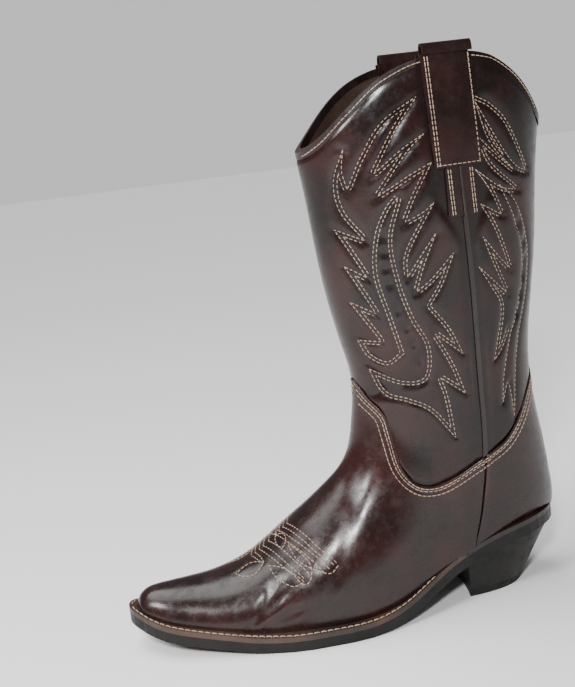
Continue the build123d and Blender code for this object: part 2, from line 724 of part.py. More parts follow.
def make_heel_layer(name, low, high):
    with BuildPart() as heel_layer:
        add(heel_solid, clean=False)
        add(level_band(low, high), mode=Mode.INTERSECT, clean=False)
        add(seat_nails, mode=Mode.SUBTRACT, clean=False)
        add(lift_nails, mode=Mode.SUBTRACT, clean=False)
    write(heel_layer, name)


def make_seat_nails():
    """Nails driven from inside the boot, down through the seat into the heel."""
    centre = BREAST_X + (HEEL_BACK * LENGTH_GRADE - BREAST_X) * SEAT_NAIL_MIDDLE
    point = TOP_LIFT_THICKNESS + LIFT_THICKNESS * 1.5
    with BuildPart() as heel_seat_nails:
        for number in range(SEAT_NAIL_COUNT):
            angle = math.radians(SEAT_NAIL_SPAN * (number / (SEAT_NAIL_COUNT - 1) - 0.5))
            spot = (centre + SEAT_NAIL_RING[0] * math.cos(angle), SEAT_NAIL_RING[1] * math.sin(angle))
            top = seat(spot[0]) + INSOLE_THICKNESS - SEAT_NAIL_SINK
            with BuildSketch(Plane.XY.offset(point)):
                with Locations(spot):
                    Circle(NAIL_RADIUS)
            extrude(amount=top - point)
            with BuildSketch(Plane.XY.offset(top - NAIL_HEAD)):
                with Locations(spot):
                    Circle(NAIL_HEAD_RADIUS)
            extrude(amount=NAIL_HEAD)
    write(heel_seat_nails, "heel_seat_nails")
    return heel_seat_nails.part


def make_lift_nails():
    """Short nails that hold the top lift, flush with its wearing face."""
    centre = BREAST_X + HEEL_BOTTOM_LENGTH * 0.45
    with BuildPart() as top_lift_nails:
        with BuildSketch():
            with Locations((centre, 0)):
                for number in range(LIFT_NAIL_COUNT):
                    angle = 2 * math.pi * (number + 0.5) / LIFT_NAIL_COUNT
                    across = (HEEL_BOTTOM_WIDTH / 2 - LIFT_NAIL_MARGIN) * math.sin(angle)
                    along = (HEEL_BOTTOM_LENGTH / 2 - LIFT_NAIL_MARGIN) * math.cos(angle)
                    with Locations((along, across)):
                        Circle(NAIL_RADIUS)
        extrude(amount=TOP_LIFT_THICKNESS + LIFT_THICKNESS * 0.8)
    write(top_lift_nails, "top_lift_nails")
    return top_lift_nails.part


os.makedirs("parts", exist_ok=True)

SHANK_MIDDLE = BREAST_X - SHANK_LENGTH / 2 + SHANK_LAP
outline_block = sole_plan()
inner_block = sole_plan(WELT_WIDTH)
breast_front = breast_cutter()
shank_solid = shank_block()
heel_solid = heel_block()
pegs = make_pegs()
seat_nails = make_seat_nails()
lift_nails = make_lift_nails()
top_ring = make_binding()
bead_skin = between_lasts(last(UPPER_LEATHER - PIPING_PROUD), shaft_last)

vamp_part = make_vamp()
counter_part = make_counter_cover()
make_toe_box()
make_heel_stiffener()
make_vamp_interlining()
for place, half in (("front", Mode.INTERSECT), ("back", Mode.SUBTRACT)):
    make_shaft_panel(f"{place}_shaft_panel", half)
    make_shaft_lining(f"{place}_shaft_lining", half)
    make_topline_binding(f"{place}_topline_binding", half)
make_foot_lining("vamp_lining", Mode.INTERSECT)
make_foot_lining("heel_lining", Mode.SUBTRACT)
for place, side in (("lateral", -1), ("medial", 1)):
    strap = make_pull_strap(f"{place}_pull_strap", side)
    patch = make_side_patch(f"{place}_side_patch", side)
    make_side_piping(f"{place}_side_piping", side, strap, patch)
make_welt_ring("welt", Mode.INTERSECT)
make_welt_ring("heel_rand", Mode.SUBTRACT)
make_steel_shank()
make_cork_filler()
make_insole()
make_heel_sock()
make_outsole()
make_heel_layer("heel_top_lift", 0, TOP_LIFT_THICKNESS)
for number in range(LIFT_COUNT):
    low = TOP_LIFT_THICKNESS + number * LIFT_THICKNESS
    make_heel_layer(f"heel_lift_{number + 1}", low, low + LIFT_THICKNESS)
make_heel_layer("heel_wedge", TOP_LIFT_THICKNESS + LIFT_COUNT * LIFT_THICKNESS, 2 * SOLE_LENGTH)
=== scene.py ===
"""Looks of a left western boot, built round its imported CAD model.  Metres, +Z up, toe to -X."""
import math

import bmesh
import bpy
import numpy as np
from mathutils import Matrix, Vector
from mathutils.kdtree import KDTree


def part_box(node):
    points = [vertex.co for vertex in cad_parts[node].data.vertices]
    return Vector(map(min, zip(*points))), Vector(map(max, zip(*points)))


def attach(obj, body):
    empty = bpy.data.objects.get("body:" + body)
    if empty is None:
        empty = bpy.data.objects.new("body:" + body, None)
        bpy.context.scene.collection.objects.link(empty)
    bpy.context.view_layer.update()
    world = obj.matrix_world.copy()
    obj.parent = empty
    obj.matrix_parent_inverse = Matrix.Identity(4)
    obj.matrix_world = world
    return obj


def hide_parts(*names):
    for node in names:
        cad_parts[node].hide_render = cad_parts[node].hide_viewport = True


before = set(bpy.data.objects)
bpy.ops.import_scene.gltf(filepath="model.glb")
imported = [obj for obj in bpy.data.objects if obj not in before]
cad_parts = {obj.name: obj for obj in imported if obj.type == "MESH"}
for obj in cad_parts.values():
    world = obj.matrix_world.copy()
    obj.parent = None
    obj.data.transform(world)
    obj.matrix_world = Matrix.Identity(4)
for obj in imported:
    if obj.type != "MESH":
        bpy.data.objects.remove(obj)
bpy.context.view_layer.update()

MM = 0.001
UPPER = 1.6  # thickness of vamp, counter and straps, mm
SHAFT = 1.6  # of the leg
BINDING = 0.8  # of the folded edge
LAP = 10.0  # how far the shaft runs down inside the vamp and counter
TUCK = 2.8  # how far the upper runs down inside the welt and rand
PUFF = 1.5  # how far the quilted leather stands up between its stitching

THREAD = 0.31  # radius of the sewing thread, mm
STITCH = 2.5
STITCH_GAP = 0.75  # bare leather between two stitches
WELT_THREAD = 0.42  # the thicker thread of the welt
WELT_STITCH = 3.4
WELT_STITCH_GAP = 1.0
ROW_GAP = 2.0  # between the two rows of a double seam, mm
VAMP_ROWS = (-1.8, -3.3, -6.2)  # rows along the vamp's edge, by distance from it
TOPLINE_ROW = 2.4  # below the edge of the leg
WELT_ROW = 2.0  # in from the welt's edge

FOOT_SLICE = 8.0  # the first slice of the last that the side-view lines can meet

# Slices of the last, fanning from the toe through the heel to the top line, mm:
# front x and z, back x and z, outer and inner half width, widest place, squareness, shift.
LAST = np.array([
    (-245.4, 26.5, -245.4, 26.3, 0.3, 0.3, 0.50, 2.0, 4.0),
    (-244.0, 31.0, -244.0, 21.0, 7.0, 7.0, 0.50, 2.0, 4.0),
    (-241.0, 34.5, -241.0, 15.0, 12.0, 12.0, 0.50, 2.0, 4.0),
    (-235.0, 37.2, -235.0, 8.0, 17.0, 16.0, 0.50, 2.2, 4.0),
    (-225.0, 38.4, -225.0, 1.0, 22.0, 20.0, 0.50, 2.6, 3.0),
    (-209.0, 39.0, -208.0, -6.0, 27.5, 25.0, 0.50, 3.0, 2.0),
    (-189.0, 40.5, -186.0, -12.0, 33.5, 30.5, 0.50, 3.0, 1.0),
    (-167.0, 47.0, -160.0, -15.0, 39.0, 36.0, 0.52, 3.0, 0.0),
    (-146.0, 60.0, -132.0, -16.0, 44.0, 40.0, 0.55, 3.0, 0.0),
    (-126.0, 74.0, -104.0, -15.0, 46.5, 41.0, 0.58, 3.0, 0.0),
    (-109.0, 87.0, -76.0, -10.0, 45.0, 38.5, 0.60, 3.0, 0.0),
    (-97.0, 99.0, -43.0, -2.0, 41.0, 36.5, 0.58, 2.6, 0.0),
    (-90.0, 112.0, -8.0, 8.0, 38.0, 36.0, 0.54, 2.2, 0.0),
    (-86.5, 126.0, 30.0, 22.0, 37.0, 36.5, 0.50, 2.0, 0.0),
    (-84.5, 138.0, 50.0, 45.0, 37.0, 37.0, 0.50, 2.0, 0.0),
    (-83.5, 148.0, 51.0, 70.0, 37.5, 37.5, 0.50, 2.0, 0.0),
    (-83.5, 158.0, 47.5, 100.0, 38.0, 38.0, 0.50, 2.0, 0.0),
    (-85.5, 170.0, 43.5, 128.0, 38.5, 38.5, 0.50, 2.0, 0.0),
    (-89.5, 190.0, 43.0, 158.0, 40.5, 40.5, 0.50, 2.0, 0.0),
    (-94.5, 220.0, 47.5, 195.0, 44.0, 44.0, 0.50, 2.0, 0.0),
    (-99.0, 255.0, 53.0, 238.0, 47.0, 47.0, 0.50, 2.0, 0.0),
    (-102.5, 290.0, 58.5, 282.0, 48.25, 48.25, 0.50, 2.0, 0.0),
    (-106.0, 325.0, 64.5, 325.0, 47.5, 47.5, 0.50, 2.0, 0.0),
    (-109.5, 374.0, 70.5, 379.0, 44.5, 44.5, 0.50, 2.0, 0.0),
])
SLICES = len(LAST) - 1

# Side-view lines of the pattern (x, z), mm.
TOP_LINE = [
    (-125, 314), (-107, 310), (-97, 316), (-79, 333), (-55, 352), (-31, 360.5), (-8, 362.5),
    (14, 359.5), (31, 350), (45, 336), (56, 320), (66, 311), (85, 316),
]
VAMP_LINE = [
    (-118, 200), (-84, 158), (-78, 146), (-69.5, 134), (-67, 120), (-64, 100), (-56, 89),
    (-46, 86), (-33, 88.5), (-8, 100), (8, 108), (21, 121), (32, 136), (43, 147), (68, 170),
]
# Half widths of the welt, outside and inside, from above: x, outside, inside.
WELT_TIP = -251.0
WELT_OUTLINE = [
    (WELT_TIP, -4.5, 4.5), (-248.0, 4.5, 13.5), (-240.0, 14.5, 19.0), (-227.0, 24.0, 25.0),
    (-210.0, 31.0, 31.0),
    (-190.0, 38.0, 37.0), (-165.0, 45.5, 43.0), (-140.0, 51.0, 46.0), (-115.0, 52.5, 44.0),
    (-92.0, 51.0, 39.5), (-70.0, 46.0, 34.5), (-48.0, 39.5, 31.5), (-24.0, 34.0, 32.0),
]
# The side seam and the top of the welt, the same way.
SEAM = [(-21, 10), (-19, 38), (-13, 65), (-8, 100), (-7, 150), (-9, 220), (-12, 285), (-14, 400)]
SEAT = [
    (-270, 33), (-251, 28), (-235, 22.2), (-215, 17.6), (-190, 13.5), (-168, 11), (-150, 10),
    (-120, 10), (-100, 10.4), (-80, 13.5), (-60, 21.5), (-40, 30.9), (-20, 38.3), (0, 44.4),
    (25, 49.2), (49, 51), (75, 51.4),
]


# ---------------------------------------------------------------- the last's surface
def natural_cubic(values):
    """Second derivatives of the natural cubic through evenly numbered values."""
    count = len(values)
    system = np.eye(count)
    right = np.zeros((count,) + values.shape[1:])
    for i in range(1, count - 1):
        system[i, i - 1:i + 2] = (1, 4, 1)
        right[i] = 6 * (values[i - 1] - 2 * values[i] + values[i + 1])
    return np.linalg.solve(system, right)


BEND = natural_cubic(LAST)


def slice_values(t):
    """The nine values of the last at any slice number, as smooth functions of it."""
    t = np.clip(t, 0, SLICES)
    low = np.minimum(t.astype(int), SLICES - 1)
    b = (t - low)[..., None]
    a = 1 - b
    curve = (a ** 3 - a) * BEND[low] + (b ** 3 - b) * BEND[low + 1]
    return a * LAST[low] + b * LAST[low + 1] + curve / 6


def shrunk(half, inset):
    """A half size less an inset, without ever reaching nothing."""
    half = np.maximum(half, 0.3)
    return np.maximum(0.25, half * np.exp(-inset / half))


def on_last(t, angle, inset):
    """Points on the last in mm: angle 0 is the front ridge, pi the back, minus is outside."""
    v = slice_values(np.asarray(t, float))
    middle = np.hypot(v[..., 2] - v[..., 0], v[..., 3] - v[..., 1]) / 2
    reach = shrunk(middle, inset) / np.maximum(middle, 1e-6)
    cosine, sine = np.cos(angle), np.sin(angle)
    power = np.where(cosine >= 0, 1.0, 2 / np.clip(v[..., 7], 1.9, 3.1))
    lean = np.abs(cosine) ** power
    way = np.where(cosine >= 0, v[..., 6] * (1 - lean), v[..., 6] + (1 - v[..., 6]) * lean)
    width = np.where(sine < 0, v[..., 4], v[..., 5])
    side = np.sign(sine) * shrunk(width, inset) * np.abs(sine) ** power
    way = 0.5 + (way - 0.5) * reach
    nose = inset * np.clip(1 - np.asarray(t) / 5, 0, 1)
    x = v[..., 0] + way * (v[..., 2] - v[..., 0]) + nose
    z = v[..., 1] + way * (v[..., 3] - v[..., 1])
    return np.stack([x, side + v[..., 8], z], -1)


def smooth_line(points):
    """A side-view line as a function: the cubic that never overshoots its points."""
    xs, ys = np.array(points, float).T
    steps = np.diff(xs)
    slopes = np.diff(ys) / steps
    pairs = slopes[:-1] * slopes[1:]
    total = np.where(np.abs(slopes[:-1] + slopes[1:]) < 1e-9, 1.0, slopes[:-1] + slopes[1:])
    inner = np.where(pairs > 0, 2 * pairs / total, 0.0)
    ends = np.concatenate([[slopes[0]], inner, [slopes[-1]]])

    def value(x):
        x = np.clip(x, xs[0], xs[-1])
        i = np.clip(np.searchsorted(xs, x) - 1, 0, len(steps) - 1)
        s = (x - xs[i]) / steps[i]
        rise = steps[i] * (ends[i] * s * (1 - s) ** 2 + ends[i + 1] * s * s * (s - 1))
        return ys[i] * (1 + 2 * s) * (1 - s) ** 2 + ys[i + 1] * s * s * (3 - 2 * s) + rise

    return value


top_line = smooth_line(TOP_LINE)
vamp_line = smooth_line(VAMP_LINE)
seat_line = smooth_line(SEAT)
seam_line = smooth_line([(z, x) for x, z in SEAM])  # x for a height
welt_squares = smooth_line([(x, ((outside + inside) / 2) ** 2) for x, outside, inside in WELT_OUTLINE])
welt_middle = smooth_line([(x, (inside - outside) / 2) for x, outside, inside in WELT_OUTLINE])

SCAN = 480
scan_t = np.linspace(0, SLICES, SCAN)
scan_angle = np.linspace(0, math.pi, SCAN)
scan_grid = on_last(scan_t[:, None], scan_angle[None, :], 0.0)


def crossing(values, grid, last=True):
    """Where a row of values along a grid first or last turns from minus to plus."""
    turns = np.where((values[:-1] < 0) & (values[1:] >= 0))[0]
    if len(turns) == 0:
        return grid[0] if values[0] >= 0 else grid[-1]
    i = turns[-1] if last else turns[0]
    share = values[i] / (values[i] - values[i + 1])
    return grid[i] + share * (grid[i + 1] - grid[i])


def angles_where(gap):
    """For each scanned slice, the angle at which a side-view gap turns positive."""
    return np.array([crossing(row, scan_angle, last=False) for row in gap])


seam_angle = angles_where(scan_grid[..., 0] - seam_line(scan_grid[..., 2]))
feather_angle = angles_where(seat_line(scan_grid[..., 0]) - TUCK - scan_grid[..., 2])
foot_angle = np.minimum(seam_angle, feather_angle)


def front_angle(share, t):
    """The angle of one column of the front, share -1 outside to 1 inside."""
    return share * np.interp(t, scan_t, seam_angle)


def back_angle(share, t):
    """The angle of one column of the back, over the heel."""
    return math.pi + share * (math.pi - np.interp(t, scan_t, seam_angle))


def vamp_angle(share, t):
    """The angle of one column of the vamp, down to the seam or the welt."""
    return share * np.interp(t, scan_t, foot_angle)


def reach_of(angle_of, share, line, drop):
    """The slice number at which one column of a panel meets a side-view line."""
    t = scan_t[scan_t >= FOOT_SLICE]
    spot = on_last(t, angle_of(share, t), 0.0)
    return crossing(spot[:, 2] + drop - line(spot[:, 0]), t)


# ---------------------------------------------------------------- building meshes
def finished(name, bm, material, nodes=(), smooth=True, recalc=True):
    """Turn a bmesh into a piece of the boot that rides on its one body."""
    if recalc:
        bmesh.ops.recalc_face_normals(bm, faces=bm.faces)
    mesh = bpy.data.meshes.new(name)
    bm.to_mesh(mesh)
    bm.free()
    piece = bpy.data.objects.new(name, mesh)
    bpy.context.scene.collection.objects.link(piece)
    for face in mesh.polygons:
        face.use_smooth = smooth
    mesh.materials.append(material)
    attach(piece, "root")
    if nodes:
        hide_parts(*nodes)
    return piece


def grid_shares(columns, rows):
    """A flat grid, with each corner's share across and up."""
    bm = bmesh.new()
    bmesh.ops.create_grid(bm, x_segments=columns, y_segments=rows, size=1)
    spots = np.array([v.co[:2] for v in bm.verts])
    return bm, spots[:, 0], (spots[:, 1] + 1) / 2


def lay_panel(name, columns, rows, angle_of, low, high, inset, thick, relief, material, nodes):
    """A leather panel: a flat grid laid on the last between two side-view lines."""
    bm, across, up = grid_shares(columns, rows)
    shares = np.unique(np.round(across, 6))
    lows = np.array([low(angle_of, s) for s in shares])
    highs = np.array([high(angle_of, s) for s in shares])
    start = np.interp(across, shares, lows)
    end = np.interp(across, shares, highs)
    t = start + up * (end - start)
    angle = angle_of(across, t)
    flat = on_last(t, angle, inset)
    height = relief(flat)
    placed = on_last(t, angle, inset - height)
    for vert, spot in zip(bm.verts, placed):
        vert.co = Vector(spot) * MM
    # The groove layer is painted shade: 1 where the leather lies at or below the last, 0 where it stands
    # a full puff up, so stitch lines, dimples, folds and creases come out darker. On the vamp, whose
    # relief is mostly flat, most of the leather is darkened and only the raised ridges stay lighter.
    groove_shade = bm.verts.layers.float.new("groove_shade")
    depth = np.clip(1 - height / PUFF, 0, 1)
    for vert, value in zip(bm.verts, depth):
        vert[groove_shade] = value
    centre = Vector(placed.mean(axis=0)) * MM
    face_out(bm, centre)
    piece = finished(name, bm, material, nodes, recalc=False)
    wall = piece.modifiers.new("thickness", "SOLIDIFY")
    wall.thickness = thick * MM
    wall.offset = -1
    return piece


def face_out(bm, centre):
    """Turn the faces so that they look away from the middle of the boot."""
    bm.normal_update()
    votes = 0
    for face in bm.faces:
        votes += 1 if face.normal.dot(face.calc_center_median() - centre) > 0 else -1
    if votes < 0:
        bmesh.ops.reverse_faces(bm, faces=bm.faces)


def where_line(line, drop=0.0):
    """An edge of a panel that follows a side-view line, moved down by a drop."""
    return lambda angle_of, share: reach_of(angle_of, share, line, drop)


def at_feather(angle_of, share):
    """The edge of a panel that is tucked into the welt or the rand."""
    return reach_of(angle_of, share, seat_line, TUCK)


# ---------------------------------------------------------------- shader groups
def new_group(name, inputs, outputs):
    """An empty shader group with its named sockets."""
    group = bpy.data.node_groups.new(name, "ShaderNodeTree")
    for label, kind, value in inputs:
        socket = group.interface.new_socket(label, in_out="INPUT", socket_type=kind)
        socket.default_value = value
    for label, kind in outputs:
        group.interface.new_socket(label, in_out="OUTPUT", socket_type=kind)
    start = group.nodes.new("NodeGroupInput")
    end = group.nodes.new("NodeGroupOutput")
    return group, group.nodes, group.links, start, end


def noise_node(nodes, links, place, scale, detail, roughness=0.5):
    """Soft noise of one scale over the object."""
    node = nodes.new("ShaderNodeTexNoise")
    node.inputs["Scale"].default_value = scale
    node.inputs["Detail"].default_value = detail
    node.inputs["Roughness"].default_value = roughness
    links.new(place, node.inputs["Vector"])
    return node.outputs["Fac"]


def spread(nodes, links, value, low, high, start=0.0, end=1.0):
    """A value stretched smoothly from one range to another."""
    node = nodes.new("ShaderNodeMapRange")
    node.interpolation_type = "SMOOTHSTEP"
    for label, number in (("From Min", low), ("From Max", high), ("To Min", start), ("To Max", end)):
        node.inputs[label].default_value = number
    links.new(value, node.inputs["Value"])
    return node.outputs["Result"]


def blend_colours(nodes, links, share, first, second):
    """The first colour where the share is 0, the second where it is 1."""
    node = nodes.new("ShaderNodeMix")
    node.data_type = "RGBA"
    links.new(share, node.inputs[0])
    links.new(first, node.inputs[6])
    links.new(second, node.inputs[7])
    return node.outputs[2]


def hide_with_shade_group():
    """Waxed leather: a red ground darkened in clouds, with worn pale marks, and painted shade that
    darkens the grooves of the relief.
    """
    group, nodes, links, start, end = new_group("burnished hide with groove shade", [
        ("Dark", "NodeSocketColor", (0.02, 0.008, 0.006, 1)),
        ("Red", "NodeSocketColor", (0.10, 0.025, 0.018, 1)),
        ("Worn", "NodeSocketColor", (0.20, 0.09, 0.06, 1)),
        ("Groove shade", "NodeSocketFloat", 0.0),
    ], [("Colour", "NodeSocketColor"), ("Sheen loss", "NodeSocketFloat"), ("Height", "NodeSocketFloat")])
    place = nodes.new("ShaderNodeTexCoord").outputs["Object"]
    clouds = spread(nodes, links, noise_node(nodes, links, place, 22, 5, 0.6), 0.38, 0.66)
    worn = spread(nodes, links, noise_node(nodes, links, place, 34, 7, 0.7), 0.60, 0.85, 0, 0.35)
    ground = blend_colours(nodes, links, clouds, start.outputs["Dark"], start.outputs["Red"])
    rubbed = blend_colours(nodes, links, worn, ground, start.outputs["Worn"])
    # Painted shade: the groove layer pulls the colour towards the dark one in the low places of the
    # relief.
    groove_shade = spread(nodes, links, start.outputs["Groove shade"], 0.45, 1.0, 0, 0.7)
    links.new(blend_colours(nodes, links, groove_shade, rubbed, start.outputs["Dark"]), end.inputs["Colour"])
    dulled = spread(nodes, links, noise_node(nodes, links, place, 130, 6, 0.7), 0.35, 0.75)
    links.new(dulled, end.inputs["Sheen loss"])
    pores = nodes.new("ShaderNodeTexVoronoi")
    pores.inputs["Scale"].default_value = 1300
    links.new(place, pores.inputs["Vector"])
    wrinkle = noise_node(nodes, links, place, 240, 6, 0.6)
    total = nodes.new("ShaderNodeMath")
    total.operation = "MULTIPLY_ADD"
    links.new(wrinkle, total.inputs[0])
    total.inputs[1].default_value = 1.6
    links.new(spread(nodes, links, pores.outputs["Distance"], 0.0, 0.5, 0, 0.35), total.inputs[2])
    links.new(total.outputs[0], end.inputs["Height"])
    return group


HIDE_WITH_SHADE = hide_with_shade_group()


def shader_base(name, roughness, coat=0.0, shine=0.5):
    """A new material with its even values set on its own shader."""
    material = bpy.data.materials.new(name)
    material.use_nodes = True
    nodes, links = material.node_tree.nodes, material.node_tree.links
    shader = nodes["Principled BSDF"]
    shader.inputs["Roughness"].default_value = roughness
    shader.inputs["Coat Weight"].default_value = coat
    shader.inputs["Coat Roughness"].default_value = 0.16
    shader.inputs["Specular IOR Level"].default_value = shine
    return material, nodes, links, shader


def hide(name, dark, red, worn, gloss, dull, grain, coat=0.0, shine=0.5, groove_shaded=False):
    """One finish of waxed leather; gloss and dull are the ends of its roughness."""
    material, nodes, links, shader = shader_base(name, gloss, coat, shine)
    group = nodes.new("ShaderNodeGroup")
    group.node_tree = HIDE_WITH_SHADE
    for label, colour in (("Dark", dark), ("Red", red), ("Worn", worn)):
        group.inputs[label].default_value = (*colour, 1)
    # Painted shade in the hollows of the relief, read from the panel's groove layer.
    if groove_shaded:
        mark = nodes.new("ShaderNodeAttribute")
        mark.attribute_name = "groove_shade"
        links.new(mark.outputs["Fac"], group.inputs["Groove shade"])
    links.new(group.outputs["Colour"], shader.inputs["Base Color"])
    roughness = spread(nodes, links, group.outputs["Sheen loss"], 0, 1, gloss, dull)
    links.new(roughness, shader.inputs["Roughness"])
    bump = nodes.new("ShaderNodeBump")
    bump.inputs["Strength"].default_value = grain
    bump.inputs["Distance"].default_value = 0.0002
    links.new(group.outputs["Height"], bump.inputs["Height"])
    links.new(bump.outputs["Normal"], shader.inputs["Normal"])
    return material


# The vamp and shaft finishes carry painted shade in the grooves of their relief.
VAMP_HIDE = hide(
    "vamp hide", (0.010, 0.0035, 0.0030), (0.060, 0.013, 0.011), (0.11, 0.045, 0.035),
    gloss=0.22, dull=0.40, grain=0.2, coat=0.1, shine=0.42, groove_shaded=True)
SHAFT_HIDE = hide(
    "shaft hide", (0.0055, 0.0025, 0.0022), (0.022, 0.006, 0.005), (0.07, 0.028, 0.022),
    gloss=0.20, dull=0.36, grain=0.15, coat=0.1, shine=0.36, groove_shaded=True)
STRAP_HIDE = hide(
    "strap hide", (0.007, 0.003, 0.0025), (0.022, 0.007, 0.006), (0.06, 0.027, 0.022),
    gloss=0.26, dull=0.42, grain=0.2, coat=0.05, shine=0.36)
BINDING_HIDE = hide(
    "binding hide", (0.006, 0.003, 0.0025), (0.02, 0.007, 0.006), (0.07, 0.035, 0.027),
    gloss=0.3, dull=0.5, grain=0.3, coat=0.2)
LINING_HIDE = hide(
    "lining hide", (0.035, 0.018, 0.012), (0.07, 0.035, 0.022), (0.15, 0.08, 0.05),
    gloss=0.5, dull=0.7, grain=0.4)
INSOLE_HIDE = hide(
    "insole hide", (0.25, 0.15, 0.08), (0.34, 0.21, 0.12), (0.4, 0.27, 0.17),
    gloss=0.6, dull=0.8, grain=0.5)
BOARD = hide(
    "stiffener board", (0.25, 0.16, 0.09), (0.32, 0.2, 0.12), (0.4, 0.27, 0.17),
    gloss=0.7, dull=0.9, grain=0.4)
WELT_HIDE = hide(
    "welt leather", (0.022, 0.012, 0.008), (0.065, 0.033, 0.021), (0.17, 0.10, 0.065),
    gloss=0.42, dull=0.65, grain=0.9, coat=0.05)
RAND_HIDE = hide(
    "heel rand", (0.008, 0.005, 0.004), (0.022, 0.012, 0.009), (0.07, 0.04, 0.03),
    gloss=0.38, dull=0.6, grain=0.8, coat=0.1)
SOLE_EDGE = hide(
    "black edge dressing", (0.004, 0.0036, 0.0034), (0.009, 0.0075, 0.0065), (0.03, 0.022, 0.018),
    gloss=0.42, dull=0.62, grain=0.8, shine=0.3)
RUBBER = hide(
    "heel rubber", (0.004, 0.004, 0.004), (0.008, 0.0075, 0.007), (0.03, 0.027, 0.024),
    gloss=0.55, dull=0.8, grain=0.8, shine=0.3)
CORK = hide(
    "cork", (0.2, 0.12, 0.06), (0.3, 0.19, 0.1), (0.38, 0.26, 0.16),
    gloss=0.8, dull=0.95, grain=1.0)
PEG_WOOD = hide(
    "peg wood", (0.4, 0.28, 0.16), (0.5, 0.36, 0.2), (0.6, 0.45, 0.3),
    gloss=0.6, dull=0.8, grain=0.6)


def plain_steel():
    """Shank and nails: bare steel, brighter and duller in patches."""
    material, nodes, links, shader = shader_base("cut steel", 0.35)
    shader.inputs["Base Color"].default_value = (0.55, 0.54, 0.52, 1)
    shader.inputs["Metallic"].default_value = 1.0
    place = nodes.new("ShaderNodeTexCoord").outputs["Object"]
    links.new(spread(nodes, links, noise_node(nodes, links, place, 400, 4), 0.3, 0.7, 0.25, 0.5),
              shader.inputs["Roughness"])
    return material


def sewing_thread():
    """Tan thread, dirty in places."""
    material, nodes, links, shader = shader_base("tan thread", 0.55)
    place = nodes.new("ShaderNodeTexCoord").outputs["Object"]
    grime = spread(nodes, links, noise_node(nodes, links, place, 90, 5, 0.7), 0.3, 0.75)
    pale, dirty = nodes.new("ShaderNodeRGB"), nodes.new("ShaderNodeRGB")
    pale.outputs[0].default_value = (0.44, 0.32, 0.235, 1)
    dirty.outputs[0].default_value = (0.23, 0.15, 0.11, 1)
    colour = blend_colours(nodes, links, grime, pale.outputs[0], dirty.outputs[0])
    links.new(colour, shader.inputs["Base Color"])
    return material


STEEL = plain_steel()
THREAD_TAN = sewing_thread()

NODE_FINISH = {
    "lateral_pull_strap": STRAP_HIDE, "medial_pull_strap": STRAP_HIDE,
    "lateral_side_patch": STRAP_HIDE, "medial_side_patch": STRAP_HIDE,
    "front_topline_binding": BINDING_HIDE, "back_topline_binding": BINDING_HIDE,
    "lateral_side_piping": BINDING_HIDE, "medial_side_piping": BINDING_HIDE,
    "front_shaft_lining": LINING_HIDE, "back_shaft_lining": LINING_HIDE, "vamp_lining": LINING_HIDE,
    "heel_lining": LINING_HIDE, "vamp_interlining": LINING_HIDE, "heel_sock": LINING_HIDE,
    "toe_box": BOARD, "heel_stiffener": BOARD, "insole": INSOLE_HIDE, "welt": WELT_HIDE,
    "heel_rand": RAND_HIDE, "cork_filler": CORK, "steel_shank": STEEL, "outsole": SOLE_EDGE,
    "heel_wedge": SOLE_EDGE, "heel_lift_1": SOLE_EDGE, "heel_lift_2": SOLE_EDGE, "heel_lift_3": SOLE_EDGE,
    "heel_top_lift": RUBBER, "heel_seat_nails": STEEL, "top_lift_nails": STEEL, "arch_pegs": PEG_WOOD,
}
for node_name, finish in NODE_FINISH.items():
    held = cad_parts[node_name].data.materials
    held.clear()
    held.append(finish)


# ---------------------------------------------------------------- where a drawn line lies
def rounded_path(points, step=1.0):
    """A drawn line through points: an item of two numbers is smooth, and a third marks a sharp tip."""
    runs, run = [], []
    for item in points:
        run.append(item[:2])
        if len(item) == 3 and len(run) > 1:
            runs.append(run)
            run = [item[:2]]
    if len(run) > 1:
        runs.append(run)
    placed = []
    for run in runs:
        knots = np.array(run, float)
        padded = np.vstack([2 * knots[0] - knots[1], knots, 2 * knots[-1] - knots[-2]])
        for i in range(1, len(padded) - 2):
            before, near, far, after = padded[i - 1:i + 3]
            count = max(2, int(np.hypot(*(far - near)) / step))
            for s in np.arange(count) / count:
                bend = 2 * before - 5 * near + 4 * far - after
                twist = 3 * near - before - 3 * far + after
                placed.append(near + 0.5 * ((far - before) * s + bend * s * s + twist * s ** 3))
    placed.append(np.array(runs[-1][-1], float))
    return np.array(placed)


def beside(path, gap):
    """A second row beside a drawn line, without the loops that sharp tips would give it."""
    if gap == 0:
        return path
    along = np.gradient(path, axis=0)
    along /= np.maximum(np.hypot(*along.T), 1e-6)[:, None]
    moved = path + gap * np.stack([-along[:, 1], along[:, 0]], 1)
    clear = np.sqrt(((moved[:, None, :] - path[None, :, :]) ** 2).sum(-1)).min(1)
    return moved[clear > 0.93 * abs(gap)]


def tree_of(spots):
    """A search tree of points."""
    tree = KDTree(len(spots))
    for number, spot in enumerate(spots):
        tree.insert(spot, number)
    tree.balance()
    return tree


def flat_tree(spots, axes):
    """A search tree of points seen along one direction."""
    return tree_of(np.column_stack([spots[:, axes], np.zeros(len(spots))]))


SIDE_VIEW, PLAN = [0, 2], [0, 1]
SEEK_SLICES, SEEK_ANGLES = 240, 120
seek_grid = np.meshgrid(
    np.linspace(0, SLICES, SEEK_SLICES), np.linspace(0.0, math.pi, SEEK_ANGLES), indexing="ij")
seek_t, seek_angle = seek_grid[0].ravel(), seek_grid[1].ravel()
side_spots = on_last(seek_t, seek_angle, 0.0)
side_tree = flat_tree(side_spots, SIDE_VIEW)
on_toe = (seek_t > 4) & (seek_t < 13) & (seek_angle < 1.7)
top_t, top_angle = seek_t[on_toe], seek_angle[on_toe]
top_tree = flat_tree(side_spots[on_toe], PLAN)


WALKS = 6
STEP_T, STEP_ANGLE = 0.01, 0.005


